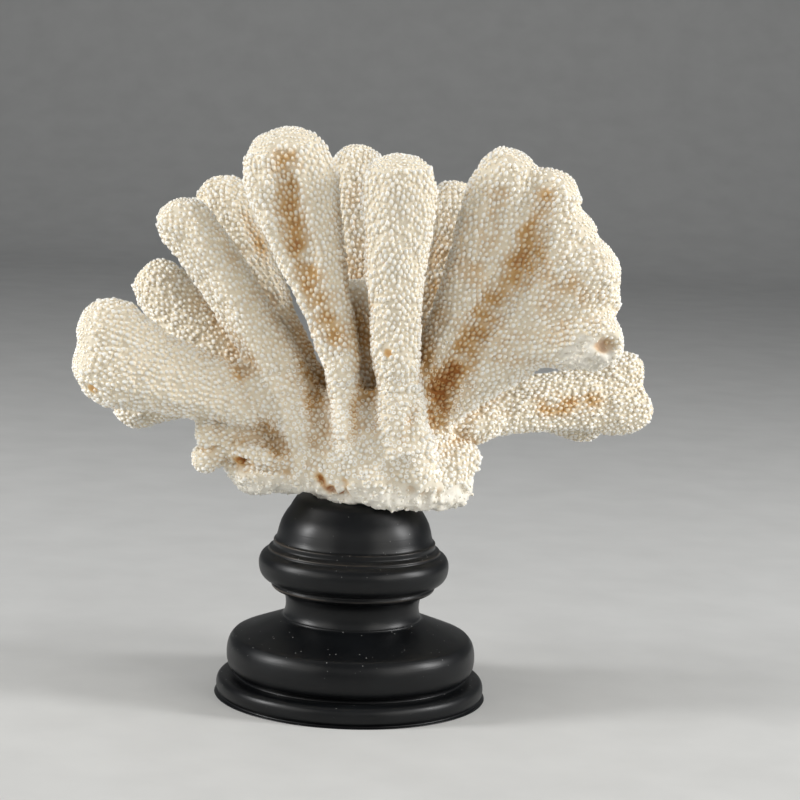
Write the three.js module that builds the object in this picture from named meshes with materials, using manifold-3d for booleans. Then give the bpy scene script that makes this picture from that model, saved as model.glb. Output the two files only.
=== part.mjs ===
// A bleached branching coral on a turned black wood stand, in millimetres, +Z up.
// The origin is the centre of the stand's underside. Seen from the front, +X is to the right and +Y is away.
// The coral grew as one piece. It is parted here at its main forks: a stump and the branches that leave it.
import * as THREE from "three";
import { mergeVertices } from "three/addons/utils/BufferGeometryUtils.js";
import Module from "manifold-3d";

const wasm = await Module();
wasm.setup();

// Stand: a turned profile, from the foot to the bell that the coral stands on.
const STAND_HEIGHT = 68;
const FOOT_RADIUS = 45;
const FOOT_HEIGHT = 6.6;
const FOOT_FLAT_RADIUS = 42;
const UNDERCUT_RADIUS = 38.5;
const UNDERCUT_TOP = 7.6;
const CUSHION_RADIUS = 41.8;
const CUSHION_MIDDLE = 14;
const SHOULDER_RADIUS = 37.5;
const SHOULDER_TOP = 21.2;
const NECK_FOOT_RADIUS = 24.5;
const NECK_FOOT = 26.2;
const NECK_RADIUS = 22.4;
const NECK_MIDDLE = 31;
const DISC_RADIUS = 27.6;
const DISC_UNDERSIDE = 36.4;
const DISC_TOP = 38.6;
const BEAD_SEAT_RADIUS = 27;
const BEAD_RADIUS = 31.9;
const BEAD_MIDDLE = 44.6;
const BEAD_TOP = 49.2;
const LOWER_FILLET_RADIUS = 28.8;
const LOWER_FILLET_TOP = 50;
const UPPER_FILLET_RADIUS = 27.1;
const UPPER_FILLET_TOP = 52.8;
const BELL_FOOT_RADIUS = 26.2;
const BELL_FOOT = 53.6;
const BELL_SWELL_HEIGHT = 62;
const BELL_TOP_RADIUS = 17.5;
const EDGE = 1;
const STAND_SIDES = 25;
const STAND_ARC_STEPS = 3;

// Coral: how finely a limb is faceted, and the slow waves round and along it that keep its sides unlike.
const LIMB_SIDES = 10;
const LIMB_STEPS = 4;
const TIP_STEPS = 3;
const LUMP_SHARE = 0.035;
const LUMP_WAVES = [
  { round: 3, rise: 4, start: 1 },
  { round: 2, rise: -7, start: 2 },
];
const FORK_GAP = 0.3;
const FRONT = new THREE.Vector3(0, -1, 0);

// Stump: its flat underside stands on the stand's top. Its flank is given by radius and height above that,
// and it is pressed flatter from front to back, fluted, and leans to the left as it rises.
const STUMP_HEIGHT = 35;
const STUMP_FLANK = [[26, 0], [31, 5], [32.5, 13], [28, 23], [15, 32], [0, STUMP_HEIGHT]];
const STUMP_STEPS = 8;
const STUMP_SIDES = 28;
const STUMP_DEPTH_SHARE = 0.74;
const STUMP_FOOT_SHIFT = 11;
const STUMP_CROWN_SHIFT = -2;
const STUMP_LEAN_HEIGHT = 20;
const STUMP_FLUTES = 10;
const STUMP_FLUTE_SHARE = 0.04;

// What stands out of the stump: a broken shelf under its left side, two stubs at the shelf's edge, a heel on
// the right, and the roots of the three front fingers, which run down its front as ridges.
const STUMP_KNOBS = [
  { path: [[0, -4, 81], [-35, -9, 80]], across: [11, 9.4], through: [16, 12], tip: 8.8 },
  { path: [[-38, -10, 84], [-49.5, -12, 80.5]], across: [5, 4.4], through: [5, 4.6], tip: 4.4 },
  { path: [[-36, -10, 93], [-49, -13, 91]], across: [6, 4.2], through: [6, 4.6], tip: 4.4 },
  { path: [[18, -2, 84], [32, -5, 79]], across: [10, 8.5], through: [14, 11], tip: 7 },
  {
    path: [[17, -13, 76], [14.5, -17, 91], [12.4, -19.8, 106]],
    across: [12.5, 10.5, 8.4],
    through: [10, 9.6, 8.6],
    tip: 5,
  },
  {
    path: [[1, -14, 76], [-2, -16.5, 91], [-4.4, -15.6, 107]],
    across: [9, 8, 7],
    through: [9.5, 9, 8.4],
    tip: 4,
  },
  {
    path: [[-9, -12, 78], [-17, -11.5, 93], [-27, -9.2, 109]],
    across: [9, 9, 9.4],
    through: [10, 9.8, 9.5],
    tip: 4,
  },
];

// A worm hole in the broken end of the fan.
const WORM_HOLE = { centre: [79.3, -31.6, 125], radius: 3.2 };

// The branches, front ones first, because a branch is cut back from those listed before it.
// A limb's path runs from inside the stump to the middle of its round tip, and tip is the tip's own length.
// Its half widths, across and through as seen from the front, are spread evenly along the path.
// Valleys are limbs too, and are hollowed out of the branch's front.
const BRANCHES = [
  {
    name: "front_centre_finger",
    limbs: [
      {
        path: [[13, -16, 94], [12, -21, 112], [10.5, -26, 137], [10.5, -28, 155], [10.2, -30, 173.5]],
        across: [9, 7.8, 8.8, 10.6, 12.2],
        through: [9, 8, 8.4, 9.4, 10],
        tip: 10.5,
      },
    ],
  },
  {
    name: "front_left_finger",
    limbs: [
      {
        path: [
          [-2, -11, 94], [-5, -16, 112], [-8.5, -19, 128], [-13, -21, 138], [-19, -23, 156], [-25, -26, 176],
        ],
        across: [8, 6.4, 8.8, 12.2, 15.4],
        through: [9, 8, 9, 10, 11.5],
        tip: 15,
      },
    ],
    valleys: [
      {
        path: [[-26.5, -42.5, 179], [-24.5, -39.6, 167], [-22, -36.4, 157], [-18.5, -34.8, 146]],
        across: [6, 7.5, 7, 5.5],
        through: [6, 7.5, 7, 5.5],
        tip: 5,
      },
    ],
  },
  {
    name: "right_fan",
    limbs: [
      {
        path: [[18, -5, 95], [33, -12, 132], [44.5, -16, 173.5]],
        across: [9, 10, 12.4],
        through: [8, 9, 11],
        tip: 13,
      },
      {
        path: [[20, -5, 95], [44, -14, 138], [58, -18, 169]],
        across: [9, 11, 11.8],
        through: [8, 9, 10],
        tip: 12,
      },
      {
        path: [[21, -5, 95], [47, -14, 133], [64, -19, 157.5]],
        across: [8, 10, 11.8],
        through: [8, 8.5, 9.5],
        tip: 11.5,
      },
      {
        path: [[22, -5, 96], [49, -14, 128], [70, -20, 147]],
        across: [9, 12, 13.6],
        through: [8, 9.5, 11],
        tip: 13,
      },
      {
        path: [[22, -5, 97], [46, -13, 127], [66, -19, 146.5]],
        across: [9, 17, 22],
        through: [8, 10.4, 11.6],
        tip: 13,
      },
      {
        path: [[24, -5, 98], [52, -15, 123.5], [74, -22.5, 125.5]],
        across: [8, 8.6, 11],
        through: [8, 9, 10],
        tip: 11,
      },
    ],
    valleys: [
      {
        path: [
          [58.5, -31.5, 173.5], [53.8, -30, 159.4], [47.7, -28, 147], [40.6, -25.5, 133.7], [33, -22.6, 120],
        ],
        across: [4.5, 6, 7, 7, 6],
        through: [4.5, 6, 7, 7, 6],
        tip: 5,
      },
      {
        path: [[43.6, -30, 176], [41, -29, 164], [37.5, -27, 150]],
        across: [4, 6, 5],
        through: [4, 6, 5],
        tip: 4,
      },
    ],
    hole: WORM_HOLE,
  },
  {
    name: "left_finger",
    limbs: [
      {
        path: [[-12, -6, 88], [-28, -9, 112], [-42, -11, 136], [-58, -14, 157.5]],
        across: [10, 9.4, 9, 9.3],
        through: [10, 9.4, 9, 9],
        tip: 9.2,
      },
    ],
  },
  {
    name: "left_arm",
    limbs: [
      {
        path: [[-14, -5, 92], [-47, -14, 103.5], [-62, -19, 108.5], [-78, -23, 112.5]],
        across: [10, 10.8, 12.4, 15],
        through: [10, 11, 12, 13.5],
        tip: 14.5,
      },
      {
        path: [[-64, -19, 112], [-80, -23.5, 122.5]],
        across: [10, 11.8],
        through: [10, 12],
        tip: 11.5,
      },
    ],
  },
  {
    name: "back_centre_finger",
    limbs: [
      {
        path: [[1, 4, 92], [-1.5, 16, 132], [-3.5, 23, 158], [-4, 26, 173.5]],
        across: [10, 10, 10, 9.8],
        through: [10, 10, 10, 10],
        tip: 10.3,
      },
      {
        path: [[-1, -1, 92], [-2, -1, 133]],
        across: [9, 8.5],
        through: [9, 8],
        tip: 8,
      },
    ],
  },
  {
    name: "back_right_finger",
    limbs: [
      {
        path: [[16, 6, 92], [25, 17, 124], [27.5, 25, 150], [28.5, 29, 163]],
        across: [10, 9.6, 9.6, 9.6],
        through: [10, 10, 9.8, 9.6],
        tip: 10,
      },
    ],
  },
  {
    name: "back_left_finger",
    limbs: [
      {
        path: [[-12, 6, 90], [-27, 12, 112], [-35, 16, 129], [-43, 21, 149], [-48, 25, 161]],
        across: [11, 10.6, 10.8, 11],
        through: [11, 10.5, 10.5, 10.5],
        tip: 11,
      },
    ],
  },
  {
    name: "right_arm",
    limbs: [
      {
        path: [[22, 3, 92], [54, 16, 98.5], [76, 25, 99.5]],
        across: [10, 9.5, 11.2],
        through: [10, 10, 11],
        tip: 11,
      },
      {
        path: [[72, 24, 98], [91, 29.5, 96.5]],
        across: [9, 9.3],
        through: [9, 10],
        tip: 9,
      },
      {
        path: [[72, 25, 101], [88.5, 31, 108.2]],
        across: [9, 9],
        through: [9, 9.5],
        tip: 9,
      },
    ],
  },
  {
    name: "back_left_arm",
    limbs: [
      {
        path: [[-12, 7, 90], [-40, 19, 106], [-57, 26, 117], [-66, 30, 126], [-69, 31, 131.5]],
        across: [11, 11, 10.6, 10.2],
        through: [11, 11, 11, 11],
        tip: 10.8,
      },
    ],
  },
  {
    name: "back_left_low_arm",
    limbs: [
      {
        path: [[-14, 8, 92], [-52, 25, 100], [-76, 36, 92.5]],
        across: [10, 9.4, 10.8],
        through: [10, 10.5, 11],
        tip: 10.5,
      },
    ],
  },
  {
    name: "back_right_low_arm",
    limbs: [
      {
        path: [[22, 9, 92], [56, 31, 97], [77, 44, 92]],
        across: [10, 9, 10.2],
        through: [10, 10, 10.5],
        tip: 9.6,
      },
    ],
  },
];

const EBONISED_WOOD = { color: 0x0d0e10, roughness: 0.4, metalness: 0 };
const BLEACHED_CORAL = { color: 0xf1ebdf, roughness: 0.85, metalness: 0 };
const WELD_DISTANCE = 1e-3;

// The stand's profile as radius and height, turned about the upright axis.
function standGeometry() {
  const profile = new THREE.Path();
  profile.moveTo(0, 0);
  profile.lineTo(FOOT_FLAT_RADIUS, 0);
  profile.quadraticCurveTo(FOOT_RADIUS, 0, FOOT_RADIUS, FOOT_HEIGHT / 2);
  profile.quadraticCurveTo(FOOT_RADIUS, FOOT_HEIGHT, FOOT_FLAT_RADIUS, FOOT_HEIGHT);
  profile.lineTo(UNDERCUT_RADIUS, FOOT_HEIGHT);
  profile.lineTo(UNDERCUT_RADIUS, UNDERCUT_TOP);
  profile.quadraticCurveTo(CUSHION_RADIUS, UNDERCUT_TOP + EDGE, CUSHION_RADIUS, CUSHION_MIDDLE);
  profile.quadraticCurveTo(CUSHION_RADIUS, SHOULDER_TOP - EDGE, SHOULDER_RADIUS, SHOULDER_TOP);
  profile.lineTo(NECK_FOOT_RADIUS, NECK_FOOT);
  profile.quadraticCurveTo(NECK_RADIUS, NECK_FOOT + EDGE, NECK_RADIUS, NECK_MIDDLE);
  profile.quadraticCurveTo(NECK_RADIUS, DISC_UNDERSIDE, DISC_RADIUS - EDGE, DISC_UNDERSIDE);
  profile.lineTo(DISC_RADIUS, DISC_UNDERSIDE + EDGE);
  profile.lineTo(BEAD_SEAT_RADIUS, DISC_TOP);
  profile.quadraticCurveTo(BEAD_RADIUS, DISC_TOP + EDGE, BEAD_RADIUS, BEAD_MIDDLE);
  profile.quadraticCurveTo(BEAD_RADIUS, BEAD_TOP - EDGE, LOWER_FILLET_RADIUS, BEAD_TOP);
  profile.lineTo(LOWER_FILLET_RADIUS, LOWER_FILLET_TOP);
  profile.lineTo(UPPER_FILLET_RADIUS, LOWER_FILLET_TOP + EDGE);
  profile.lineTo(UPPER_FILLET_RADIUS, UPPER_FILLET_TOP);
  profile.lineTo(BELL_FOOT_RADIUS, BELL_FOOT);
  profile.quadraticCurveTo(BELL_FOOT_RADIUS - EDGE, BELL_SWELL_HEIGHT, BELL_TOP_RADIUS, STAND_HEIGHT);
  profile.lineTo(0, STAND_HEIGHT);
  return new THREE.LatheGeometry(profile.getPoints(STAND_ARC_STEPS), STAND_SIDES).rotateX(Math.PI / 2);
}

// The value at share t of a list of values spread evenly from 0 to 1, eased between neighbours.
function along(values, t) {
  const place = t * (values.length - 1);
  const low = Math.min(Math.floor(place), values.length - 2);
  return THREE.MathUtils.lerp(values[low], values[low + 1], THREE.MathUtils.smoothstep(place - low, 0, 1));
}

// How much a limb swells or shrinks at one turn round it and one share t of its length.
function lump(turn, t, phase) {
  let height = 0;
  for (const { round, rise, start } of LUMP_WAVES) {
    height += Math.sin(round * turn + rise * t + start * phase);
  }
  return 1 + LUMP_SHARE * height;
}

// One limb: a capsule bent along its path, with its own half widths along the way. grow swells it all over.
function limbGeometry({ path, across, through, tip }, grow) {
  const curve = new THREE.CatmullRomCurve3(path.map((point) => new THREE.Vector3(...point)));
  const phase = path[0][0] + path[path.length - 1][2];
  const geometry = new THREE.CapsuleGeometry(1, 1, TIP_STEPS, LIMB_SIDES, LIMB_STEPS);
  const position = geometry.getAttribute("position");
  const vertex = new THREE.Vector3();
  for (let i = 0; i < position.count; i++) {
    vertex.fromBufferAttribute(position, i);
    const length = vertex.y + 0.5;
    const t = THREE.MathUtils.clamp(length, 0, 1);
    const tangent = curve.getTangentAt(t);
    const forward = FRONT.clone().addScaledVector(tangent, -FRONT.dot(tangent)).normalize();
    const sideways = tangent.clone().cross(forward);
    const swell = lump(Math.atan2(vertex.z, vertex.x), t, phase);
    const point = curve
      .getPointAt(t)
      .addScaledVector(tangent, (length - t) * (tip + grow))
      .addScaledVector(sideways, vertex.x * (along(across, t) * swell + grow))
      .addScaledVector(forward, vertex.z * (along(through, t) * swell + grow));
    position.setXYZ(i, point.x, point.y, point.z);
  }
  return geometry;
}

// The stump without its knobs, turned from its flank and then fluted, pressed and leant over.
function stumpGeometry(grow) {
  const flank = new THREE.SplineCurve(STUMP_FLANK.map((corner) => new THREE.Vector2(...corner)));
  const outline = flank.getPoints(STUMP_STEPS).map(({ x, y }) => {
    const radius = x > WELD_DISTANCE ? x + grow : 0;
    return new THREE.Vector2(radius, y + grow * ((2 * y) / STUMP_HEIGHT - 1));
  });
  outline.unshift(new THREE.Vector2(0, -grow));
  const geometry = new THREE.LatheGeometry(outline, STUMP_SIDES).rotateX(Math.PI / 2);
  const position = geometry.getAttribute("position");
  for (let i = 0; i < position.count; i++) {
    const turn = Math.atan2(position.getY(i), position.getX(i));
    const flute = 1 - STUMP_FLUTE_SHARE * Math.cos(STUMP_FLUTES * turn);
    const lean = THREE.MathUtils.smoothstep(position.getZ(i), 0, STUMP_LEAN_HEIGHT);
    const shift = THREE.MathUtils.lerp(STUMP_FOOT_SHIFT, STUMP_CROWN_SHIFT, lean);
    position.setX(i, position.getX(i) * flute + shift);
    position.setY(i, position.getY(i) * flute * STUMP_DEPTH_SHARE);
    position.setZ(i, position.getZ(i) + STAND_HEIGHT);
  }
  return geometry;
}

// A closed geometry as a solid that can be joined and cut.
function solidOf(geometry) {
  const bare = new THREE.BufferGeometry();
  bare.setAttribute("position", geometry.getAttribute("position"));
  bare.setIndex(geometry.index);
  const merged = mergeVertices(bare, WELD_DISTANCE);
  const vertProperties = new Float32Array(merged.getAttribute("position").array);
  const triVerts = new Uint32Array(merged.index.array);
  return new wasm.Manifold(new wasm.Mesh({ numProp: 3, vertProperties, triVerts }));
}

// A solid's triangles as a geometry with flat facets.
function geometryOf(solid) {
  const { vertProperties, triVerts } = solid.getMesh();
  const shared = new THREE.BufferGeometry();
  shared.setAttribute("position", new THREE.BufferAttribute(vertProperties, 3));
  shared.setIndex(new THREE.BufferAttribute(triVerts, 1));
  const facets = shared.toNonIndexed();
  facets.computeVertexNormals();
  return facets;
}

function joined(solids) {
  return solids.reduce((whole, solid) => whole.add(solid));
}

// The largest body of a solid: a cut can leave a chip on the far side of what it was cut from.
function mainBody(solid) {
  return solid.decompose().reduce((best, body) => (body.volume() > best.volume() ? body : best));
}

function stumpSolid(grow) {
  const knobs = STUMP_KNOBS.map((knob) => solidOf(limbGeometry(knob, grow)));
  return joined([solidOf(stumpGeometry(grow)), ...knobs]);
}

function branchSolid({ limbs }, grow) {
  return joined(limbs.map((limb) => solidOf(limbGeometry(limb, grow))));
}

function holeSolid({ centre, radius }) {
  return solidOf(new THREE.SphereGeometry(radius, LIMB_SIDES, LIMB_SIDES / 2).translate(...centre));
}

function piece(name, geometry, finish) {
  const mesh = new THREE.Mesh(geometry, new THREE.MeshStandardMaterial(finish));
  mesh.name = name;
  return mesh;
}

const specimen = new THREE.Group();
specimen.add(piece("stand", standGeometry(), EBONISED_WOOD));
specimen.add(piece("coral_base", geometryOf(stumpSolid(0)), BLEACHED_CORAL));

// Each branch stops a fork gap short of the stump and of the branches before it.
let taken = stumpSolid(FORK_GAP);
for (const branch of BRANCHES) {
  let solid = branchSolid(branch, 0).subtract(taken);
  if (branch.valleys) {
    solid = solid.subtract(joined(branch.valleys.map((valley) => solidOf(limbGeometry(valley, 0)))));
  }
  if (branch.hole) {
    solid = solid.subtract(holeSolid(branch.hole));
  }
  solid = mainBody(solid);
  specimen.add(piece(branch.name, geometryOf(solid), BLEACHED_CORAL));
  taken = taken.add(branchSolid(branch, FORK_GAP));
}

export default specimen;
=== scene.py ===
"""Dresses a bleached branching coral and its turned black stand, and sets them in a plain studio."""

import logging
import math
from collections.abc import Sequence
from dataclasses import dataclass, field, replace
from enum import Enum

import bmesh
import bpy
import numpy as np
from mathutils import Matrix, Vector, noise
from mathutils.bvhtree import BVHTree


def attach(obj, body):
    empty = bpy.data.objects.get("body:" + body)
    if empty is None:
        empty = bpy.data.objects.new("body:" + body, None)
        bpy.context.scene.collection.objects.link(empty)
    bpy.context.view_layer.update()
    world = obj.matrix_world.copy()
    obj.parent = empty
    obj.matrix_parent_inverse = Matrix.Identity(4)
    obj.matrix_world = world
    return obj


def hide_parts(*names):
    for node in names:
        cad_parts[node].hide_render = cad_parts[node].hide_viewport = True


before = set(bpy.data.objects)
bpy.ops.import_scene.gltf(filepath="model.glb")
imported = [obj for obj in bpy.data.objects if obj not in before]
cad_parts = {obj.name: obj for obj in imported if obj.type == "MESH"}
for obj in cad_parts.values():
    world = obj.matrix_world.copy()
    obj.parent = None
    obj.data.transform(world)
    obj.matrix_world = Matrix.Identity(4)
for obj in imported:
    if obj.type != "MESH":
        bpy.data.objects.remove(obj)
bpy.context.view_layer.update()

LOG = logging.getLogger("coral")
MM = 0.001
TINY = 1e-6
Point = tuple[float, float, float]
Stops = tuple[tuple[float, str], ...]


def linear(colour: str) -> tuple[float, float, float, float]:
    """Turns a colour from sRGB to linear light.

    Args:
        colour: an sRGB hex value such as "#F4F0E6".
    Returns:
        Red, green and blue in linear light, and a full alpha.
    """
    shares = [int(colour[i:i + 2], 16) / 255 for i in (1, 3, 5)]
    bright = [s / 12.92 if s <= 0.04045 else ((s + 0.055) / 1.055) ** 2.4 for s in shares]
    return (*bright, 1.0)


def add_node(
    tree: bpy.types.NodeTree,
    kind: str,
    inputs: dict[str | int, object] | None = None,
    stops: Stops = (),
    **settings: object,
) -> bpy.types.Node:
    """Adds a node to a tree with its settings, values and links.

    Args:
        tree: the tree that the node joins.
        kind: the node's type.
        inputs: a value, or the socket or sockets to link, for each input by its name or number.
        stops: the places and hex colours of a colour ramp.
        settings: the node's own properties.
    Returns:
        The new node.
    """
    node = tree.nodes.new(kind)
    for name, value in settings.items():
        setattr(node, name, value)
    for key, value in (inputs or {}).items():
        sockets = value if isinstance(value, list) else [value]
        for socket in sockets:
            if isinstance(socket, bpy.types.NodeSocket):
                tree.links.new(socket, node.inputs[key])
            else:
                node.inputs[key].default_value = socket
    for number, (place, colour) in enumerate(stops):
        elements = node.color_ramp.elements
        element = elements[number] if number < 2 else elements.new(place)
        element.position = place
        element.color = linear(colour)
    return node


def new_material(
    name: str, values: dict[str, object]
) -> tuple[bpy.types.Material, bpy.types.NodeTree, bpy.types.Node]:
    """Starts a node material.

    Args:
        name: the real material's name.
        values: what is the same all over the surface, for each of the shader's own sockets.
    Returns:
        The material, its node tree and its surface shader.
    """
    material = bpy.data.materials.new(name)
    material.use_nodes = True
    tree = material.node_tree
    shader = tree.nodes["Principled BSDF"]
    for socket, value in values.items():
        shader.inputs[socket].default_value = value
    return material, tree, shader


def new_object(name: str, mesh: bpy.types.Mesh) -> bpy.types.Object:
    """Puts a mesh in the scene as an object of that name."""
    made = bpy.data.objects.new(name, mesh)
    bpy.context.scene.collection.objects.link(made)
    return made


def finished_mesh(shape: bmesh.types.BMesh, name: str) -> bpy.types.Mesh:
    """Turns a shape in the making into a mesh of that name."""
    mesh = bpy.data.meshes.new(name)
    shape.to_mesh(mesh)
    shape.free()
    return mesh


def smooth_step(values: np.ndarray, low: float, high: float) -> np.ndarray:
    """Eases values from 0 at low to 1 at high."""
    share = np.clip((values - low) / (high - low), 0, 1)
    return share * share * (3 - 2 * share)


def path_distance(points: np.ndarray, path: Sequence[Point]) -> np.ndarray:
    """Measures how far points lie from a path of straight stretches.

    Args:
        points: one row of x, y and z for each point, in metres.
        path: the path's corners, in millimetres.
    Returns:
        The distance of each point, in metres.
    """
    corners = np.array(path) * MM
    nearest = np.full(len(points), np.inf)
    for start, end in zip(corners[:-1], corners[1:]):
        run = end - start
        share = np.clip((points - start) @ run / (run @ run), 0, 1)
        nearest = np.minimum(nearest, np.linalg.norm(points - start - share[:, None] * run, axis=1))
    return nearest


def merged_copy(node: str) -> bmesh.types.BMesh:
    """Copies a CAD node's loose triangles and merges their corners."""
    copy = bmesh.new()
    copy.from_mesh(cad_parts[node].data)
    bmesh.ops.remove_doubles(copy, verts=copy.verts, dist=TINY)
    return copy


@dataclass(frozen=True)
class BleachedCoral:
    """Bleached coral skeleton: bare aragonite, dried and bleached, matt and slightly translucent.

    To the eye it gives ivory wart tops, cream between them, and tan to rust in the hollows,
    which is partly their dirt and partly painted shade.
    """

    # Wart tops and the ground between them, from clean to deep: deepest in rust and in the hollows' painted
    # shade, partly dirt
    tops: Stops = ((0.2, "#F8F7F2"), (0.55, "#E6D8BC"), (0.95, "#BC9660"))
    ground: Stops = ((0.12, "#EAE0CB"), (0.5, "#D0AA72"), (0.95, "#AC7034"))
    chalk: Stops = ((0.56, "#F5F2E9"), (0.78, "#BFB398"))
    mottle: float = 8 * MM
    crumbs: float = 2.2 * MM
    # The real grain is about 0.2 mm; it is drawn three times as coarse, so that it shows.
    grain: float = 0.6 * MM

    def material(self) -> bpy.types.Material:
        """Builds the material, which reads the skin's own attributes.

        Returns:
            The coral's material.
        """
        material, tree, shader = new_material("bleached coral skeleton", {
            "Roughness": 0.82, "IOR": 1.53, "Subsurface Weight": 0.6,
            "Subsurface Radius": (1.0, 0.93, 0.85), "Subsurface Scale": 0.9 * MM,
        })
        place = add_node(tree, "ShaderNodeTexCoord").outputs["Object"]
        read = {
            name: add_node(tree, "ShaderNodeAttribute", attribute_name=name).outputs["Fac"]
            for name in ("rise", "hollow", "stain", "worn")
        }
        mottle = add_node(
            tree, "ShaderNodeTexNoise", {"Vector": place, "Scale": 1 / self.mottle, "Detail": 3.0}
        )
        uneven = add_node(
            tree, "ShaderNodeMapRange",
            {
                "Value": mottle.outputs["Fac"],
                "From Min": 0.3, "From Max": 0.7, "To Min": -0.12, "To Max": 0.12,
            },
        )
        # Painted shade, partly dirt: how closed off each hollow is, with random mottling, darkens the
        # colour
        dirt_and_shade = add_node(
            tree, "ShaderNodeMath", {0: read["hollow"], 1: uneven.outputs["Result"]}, operation="ADD"
        )
        depth = add_node(
            tree, "ShaderNodeMath", {0: dirt_and_shade.outputs[0], 1: read["stain"]}, operation="ADD", use_clamp=True
        )
        ground, tops = (
            add_node(tree, "ShaderNodeValToRGB", {"Fac": depth.outputs[0]}, stops)
            for stops in (self.ground, self.tops)
        )
        height = add_node(
            tree, "ShaderNodeMapRange",
            {"Value": read["rise"], "From Min": 0.15, "From Max": 0.85}, interpolation_type="SMOOTHSTEP",
        )
        warty = add_node(
            tree, "ShaderNodeMix",
            {"Factor": height.outputs["Result"], 6: ground.outputs["Color"], 7: tops.outputs["Color"]},
            data_type="RGBA",
        )
        crumbs = add_node(
            tree, "ShaderNodeTexNoise", {"Vector": place, "Scale": 1 / self.crumbs, "Detail": 4.0}
        )
        chalk = add_node(tree, "ShaderNodeValToRGB", {"Fac": crumbs.outputs["Fac"]}, self.chalk)
        share = add_node(tree, "ShaderNodeMapRange", {"Value": read["worn"], "To Max": 0.75})
        clean = add_node(
            tree, "ShaderNodeMath", {0: 1.0, 1: read["stain"]}, operation="SUBTRACT", use_clamp=True
        )
        chalky = add_node(
            tree, "ShaderNodeMath", {0: share.outputs["Result"], 1: clean.outputs[0]}, operation="MULTIPLY"
        )
        colour = add_node(
            tree, "ShaderNodeMix",
            {"Factor": chalky.outputs[0], 6: warty.outputs[2], 7: chalk.outputs["Color"]},
            data_type="RGBA",
        )
        grain = add_node(
            tree, "ShaderNodeTexNoise", {"Vector": place, "Scale": 1 / self.grain, "Detail": 2.0}
        )
        bump = add_node(
            tree, "ShaderNodeBump",
            {"Strength": 0.35, "Distance": 0.25 * MM, "Height": grain.outputs["Fac"]},
        )
        tree.links.new(colour.outputs[2], shader.inputs["Base Color"])
        tree.links.new(bump.outputs["Normal"], shader.inputs["Normal"])
        shader.subsurface_method = "BURLEY"
        return material


@dataclass(frozen=True)
class EbonisedWood:
    """Ebonised wood: turned close-grained wood, stained black and satin lacquered.

    To the eye it gives blue-black with soft highlights, faint turning rings, brown-grey worn edges
    and dust.
    """

    stain: Stops = ((0.3, "#060709"), (0.75, "#0F1113"))
    bare: str = "#6B5F52"
    dust: str = "#9A9A98"
    # Real turning marks are about 0.15 mm apart; they are drawn three times as wide, so that they show.
    turning: float = 0.45 * MM
    handling: float = 14 * MM
    specks: float = 2.6 * MM

    def material(self) -> bpy.types.Material:
        """Builds the material, which reads the stand's own attributes.

        Returns:
            The stand's material.
        """
        material, tree, shader = new_material(
            "ebonised wood, satin lacquered", {"IOR": 1.5, "Specular IOR Level": 0.32}
        )
        place = add_node(tree, "ShaderNodeTexCoord").outputs["Object"]
        read = {
            name: add_node(tree, "ShaderNodeAttribute", attribute_name=name).outputs["Fac"]
            for name in ("reach", "wear", "ledge")
        }
        rings = add_node(
            tree, "ShaderNodeTexNoise", {"W": read["reach"], "Scale": 1 / self.turning, "Detail": 2.0},
            noise_dimensions="1D",
        )
        handled = add_node(
            tree, "ShaderNodeTexNoise", {"Vector": place, "Scale": 1 / self.handling, "Detail": 5.0}
        )
        black = add_node(tree, "ShaderNodeValToRGB", {"Fac": handled.outputs["Fac"]}, self.stain)
        rubbed = add_node(
            tree, "ShaderNodeMath", {0: read["wear"], 1: handled.outputs["Fac"]}, operation="MULTIPLY"
        )
        worn = add_node(
            tree, "ShaderNodeMapRange",
            {"Value": rubbed.outputs[0], "From Min": 0.35, "From Max": 0.8, "To Max": 0.55},
        )
        edged = add_node(
            tree, "ShaderNodeMix",
            {"Factor": worn.outputs["Result"], 6: black.outputs["Color"], 7: linear(self.bare)},
            data_type="RGBA",
        )
        specks = add_node(
            tree, "ShaderNodeTexVoronoi", {"Vector": place, "Scale": 1 / self.specks, "Randomness": 1.0}
        )
        grains = add_node(
            tree, "ShaderNodeMapRange",
            {
                "Value": specks.outputs["Distance"],
                "From Min": 0.05, "From Max": 0.09, "To Min": 1.0, "To Max": 0.0,
            },
        )
        fallen = add_node(
            tree, "ShaderNodeMath", {0: grains.outputs["Result"], 1: read["ledge"]}, operation="MULTIPLY"
        )
        colour = add_node(
            tree, "ShaderNodeMix",
            {"Factor": fallen.outputs[0], 6: edged.outputs[2], 7: linear(self.dust)}, data_type="RGBA",
        )
        gloss = add_node(
            tree, "ShaderNodeMapRange",
            {
                "Value": handled.outputs["Fac"],
                "From Min": 0.3, "From Max": 0.7, "To Min": 0.32, "To Max": 0.42,
            },
        )
        bump = add_node(
            tree, "ShaderNodeBump", {"Strength": 0.12, "Distance": 0.1 * MM, "Height": rings.outputs["Fac"]}
        )
        tree.links.new(colour.outputs[2], shader.inputs["Base Color"])
        tree.links.new(gloss.outputs["Result"], shader.inputs["Roughness"])
        tree.links.new(bump.outputs["Normal"], shader.inputs["Normal"])
        return material


@dataclass(frozen=True)
class StudioPaper:
    """Seamless studio paper: matt pulp paper on a roll, which gives a plain pale grey ground."""

    colours: Stops = ((0.3, "#CECECC"), (0.7, "#D4D4D2"))
    fibre: float = 30 * MM

    def material(self) -> bpy.types.Material:
        """Builds the material.

        Returns:
            The floor's material.
        """
        material, tree, shader = new_material(
            "seamless studio paper", {"Roughness": 0.9, "Specular IOR Level": 0.2}
        )
        place = add_node(tree, "ShaderNodeTexCoord").outputs["Object"]
        cloud = add_node(
            tree, "ShaderNodeTexNoise", {"Vector": place, "Scale": 1 / self.fibre, "Detail": 3.0}
        )
        colour = add_node(tree, "ShaderNodeValToRGB", {"Fac": cloud.outputs["Fac"]}, self.colours)
        tree.links.new(colour.outputs["Color"], shader.inputs["Base Color"])
        return material


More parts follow.
